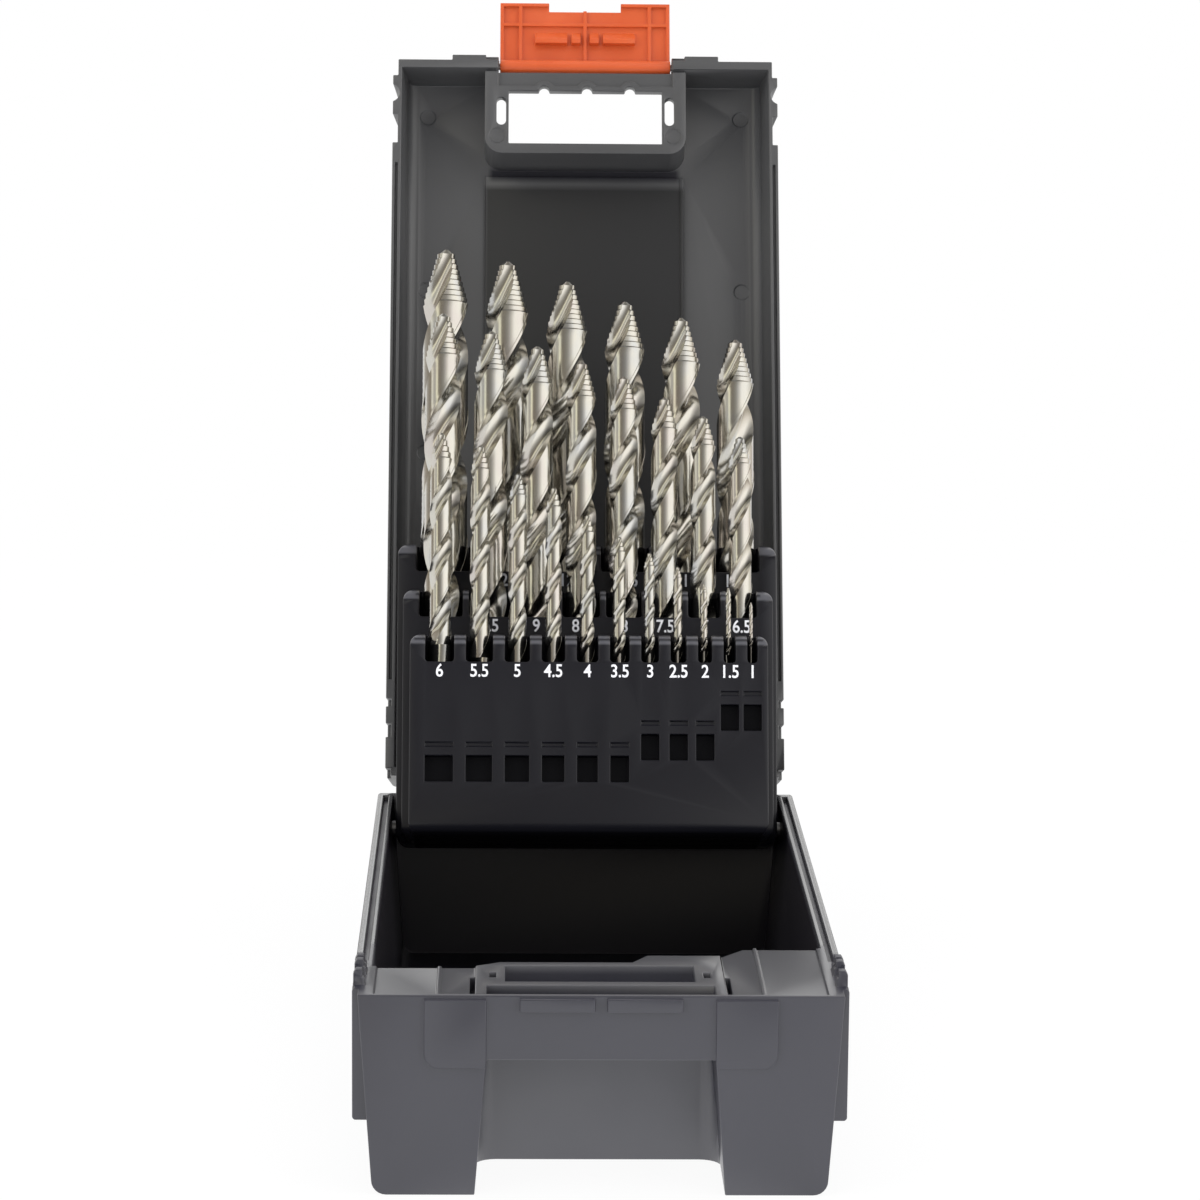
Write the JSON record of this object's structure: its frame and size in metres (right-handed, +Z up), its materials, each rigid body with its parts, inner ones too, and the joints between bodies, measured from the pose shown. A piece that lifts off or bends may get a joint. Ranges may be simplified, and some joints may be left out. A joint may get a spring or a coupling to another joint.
{
  "type": "drill bit case",
  "caption": "Moulded case with a rear-hinged lid, swing-up latch and three-tier rack that rises with the lid, holding twist drills with stepped tips.",
  "frame": {"origin": "centre of the tray's flat underside, midway between its front and rear faces", "axes": "+Z up, -Y towards the carry bar and latch end, +X to the right as seen from that end"},
  "size_m": [0.113, 0.315, 0.2563],
  "materials": {
    "dark_plastic": "fine satin moulded plastic",
    "orange_plastic": "satin moulded plastic",
    "drill_steel": "ground bright steel",
    "pin_steel": "drawn wire"
  },
  "bodies": {
    "base": {"base_shell": "dark_plastic", "hinge_pin_left": "pin_steel", "hinge_pin_right": "pin_steel"},
    "lid": {"lid_shell": "dark_plastic", "latch_pin_left": "pin_steel", "latch_pin_right": "pin_steel"},
    "latch_flap": {"latch": "orange_plastic"},
    "rack_body": {"rack": "dark_plastic", "rack_tier_middle": "dark_plastic", "rack_tier_front": "dark_plastic", "rack_pin_left": "pin_steel", "rack_pin_right": "pin_steel"},
    "drill_1_0_body": {"drill_1_0": "drill_steel"},
    "drill_1_5_body": {"drill_1_5": "drill_steel"},
    "drill_2_0_body": {"drill_2_0": "drill_steel"},
    "drill_2_5_body": {"drill_2_5": "drill_steel"},
    "drill_3_0_body": {"drill_3_0": "drill_steel"},
    "drill_3_5_body": {"drill_3_5": "drill_steel"},
    "drill_4_0_body": {"drill_4_0": "drill_steel"},
    "drill_4_5_body": {"drill_4_5": "drill_steel"},
    "drill_5_0_body": {"drill_5_0": "drill_steel"},
    "drill_5_5_body": {"drill_5_5": "drill_steel"},
    "drill_6_0_body": {"drill_6_0": "drill_steel"},
    "drill_6_5_body": {"drill_6_5": "drill_steel"},
    "drill_7_0_body": {"drill_7_0": "drill_steel"},
    "drill_7_5_body": {"drill_7_5": "drill_steel"},
    "drill_8_0_body": {"drill_8_0": "drill_steel"},
    "drill_8_5_body": {"drill_8_5": "drill_steel"},
    "drill_9_0_body": {"drill_9_0": "drill_steel"},
    "drill_9_5_body": {"drill_9_5": "drill_steel"},
    "drill_10_0_body": {"drill_10_0": "drill_steel"},
    "drill_10_5_body": {"drill_10_5": "drill_steel"},
    "drill_11_0_body": {"drill_11_0": "drill_steel"},
    "drill_11_5_body": {"drill_11_5": "drill_steel"},
    "drill_12_0_body": {"drill_12_0": "drill_steel"},
    "drill_12_5_body": {"drill_12_5": "drill_steel"},
    "drill_13_0_body": {"drill_13_0": "drill_steel"}
  },
  "joints": [
    {"name": "lid_hinge", "type": "hinge", "parent": "base", "child": "lid", "pos_m": [0, 0.108, 0.0468], "axis": [-1, 0, 0], "range_deg": [-113.7, 0]},
    {"name": "rack_rise", "type": "hinge", "parent": "base", "child": "rack_body", "pos_m": [0, 0.08684, 0.04102], "axis": [-1, 0, 0], "range_deg": [-108.01, 0]},
    {"name": "latch_hinge", "type": "hinge", "parent": "lid", "child": "latch_flap", "pos_m": [0, 0.19655, 0.23858], "axis": [-1, 0, 0], "range_deg": [-90, 0]},
    {"name": "drill_1_0_lift", "type": "slide", "parent": "rack_body", "child": "drill_1_0_body", "axis": [0, 0.309, 0.9511], "range_m": [0, 0.0298]},
    {"name": "drill_1_5_lift", "type": "slide", "parent": "rack_body", "child": "drill_1_5_body", "axis": [0, 0.309, 0.9511], "range_m": [0, 0.0319]},
    {"name": "drill_2_0_lift", "type": "slide", "parent": "rack_body", "child": "drill_2_0_body", "axis": [0, 0.309, 0.9511], "range_m": [0, 0.0399]},
    {"name": "drill_2_5_lift", "type": "slide", "parent": "rack_body", "child": "drill_2_5_body", "axis": [0, 0.309, 0.9511], "range_m": [0, 0.0434]},
    {"name": "drill_3_0_lift", "type": "slide", "parent": "rack_body", "child": "drill_3_0_body", "axis": [0, 0.309, 0.9511], "range_m": [0, 0.0437]},
    {"name": "drill_3_5_lift", "type": "slide", "parent": "rack_body", "child": "drill_3_5_body", "axis": [0, 0.309, 0.9511], "range_m": [0, 0.0484]},
    {"name": "drill_4_0_lift", "type": "slide", "parent": "rack_body", "child": "drill_4_0_body", "axis": [0, 0.309, 0.9511], "range_m": [0, 0.0476]},
    {"name": "drill_4_5_lift", "type": "slide", "parent": "rack_body", "child": "drill_4_5_body", "axis": [0, 0.309, 0.9511], "range_m": [0, 0.0453]},
    {"name": "drill_5_0_lift", "type": "slide", "parent": "rack_body", "child": "drill_5_0_body", "axis": [0, 0.309, 0.9511], "range_m": [0, 0.0476]},
    {"name": "drill_5_5_lift", "type": "slide", "parent": "rack_body", "child": "drill_5_5_body", "axis": [0, 0.309, 0.9511], "range_m": [0, 0.0471]},
    {"name": "drill_6_0_lift", "type": "slide", "parent": "rack_body", "child": "drill_6_0_body", "axis": [0, 0.309, 0.9511], "range_m": [0, 0.0437]},
    {"name": "drill_6_5_lift", "type": "slide", "parent": "rack_body", "child": "drill_6_5_body", "axis": [0, 0.309, 0.9511], "range_m": [0, 0.0636]},
    {"name": "drill_7_0_lift", "type": "slide", "parent": "rack_body", "child": "drill_7_0_body", "axis": [0, 0.309, 0.9511], "range_m": [0, 0.0661]},
    {"name": "drill_7_5_lift", "type": "slide", "parent": "rack_body", "child": "drill_7_5_body", "axis": [0, 0.309, 0.9511], "range_m": [0, 0.061]},
    {"name": "drill_8_0_lift", "type": "slide", "parent": "rack_body", "child": "drill_8_0_body", "axis": [0, 0.309, 0.9511], "range_m": [0, 0.0633]},
    {"name": "drill_8_5_lift", "type": "slide", "parent": "rack_body", "child": "drill_8_5_body", "axis": [0, 0.309, 0.9511], "range_m": [0, 0.0593]},
    {"name": "drill_9_0_lift", "type": "slide", "parent": "rack_body", "child": "drill_9_0_body", "axis": [0, 0.309, 0.9511], "range_m": [0, 0.0632]},
    {"name": "drill_9_5_lift", "type": "slide", "parent": "rack_body", "child": "drill_9_5_body", "axis": [0, 0.309, 0.9511], "range_m": [0, 0.0591]},
    {"name": "drill_10_0_lift", "type": "slide", "parent": "rack_body", "child": "drill_10_0_body", "axis": [0, 0.309, 0.9511], "range_m": [0, 0.0623]},
    {"name": "drill_10_5_lift", "type": "slide", "parent": "rack_body", "child": "drill_10_5_body", "axis": [0, 0.309, 0.9511], "range_m": [0, 0.0804]},
    {"name": "drill_11_0_lift", "type": "slide", "parent": "rack_body", "child": "drill_11_0_body", "axis": [0, 0.309, 0.9511], "range_m": [0, 0.0834]},
    {"name": "drill_11_5_lift", "type": "slide", "parent": "rack_body", "child": "drill_11_5_body", "axis": [0, 0.309, 0.9511], "range_m": [0, 0.079]},
    {"name": "drill_12_0_lift", "type": "slide", "parent": "rack_body", "child": "drill_12_0_body", "axis": [0, 0.309, 0.9511], "range_m": [0, 0.0825]},
    {"name": "drill_12_5_lift", "type": "slide", "parent": "rack_body", "child": "drill_12_5_body", "axis": [0, 0.309, 0.9511], "range_m": [0, 0.077]},
    {"name": "drill_13_0_lift", "type": "slide", "parent": "rack_body", "child": "drill_13_0_body", "axis": [0, 0.309, 0.9511], "range_m": [0, 0.0738]}
  ],
  "couplings": [
    {"joint": "rack_rise", "follows": "lid_hinge", "ratio": 0.94987}
  ]
}
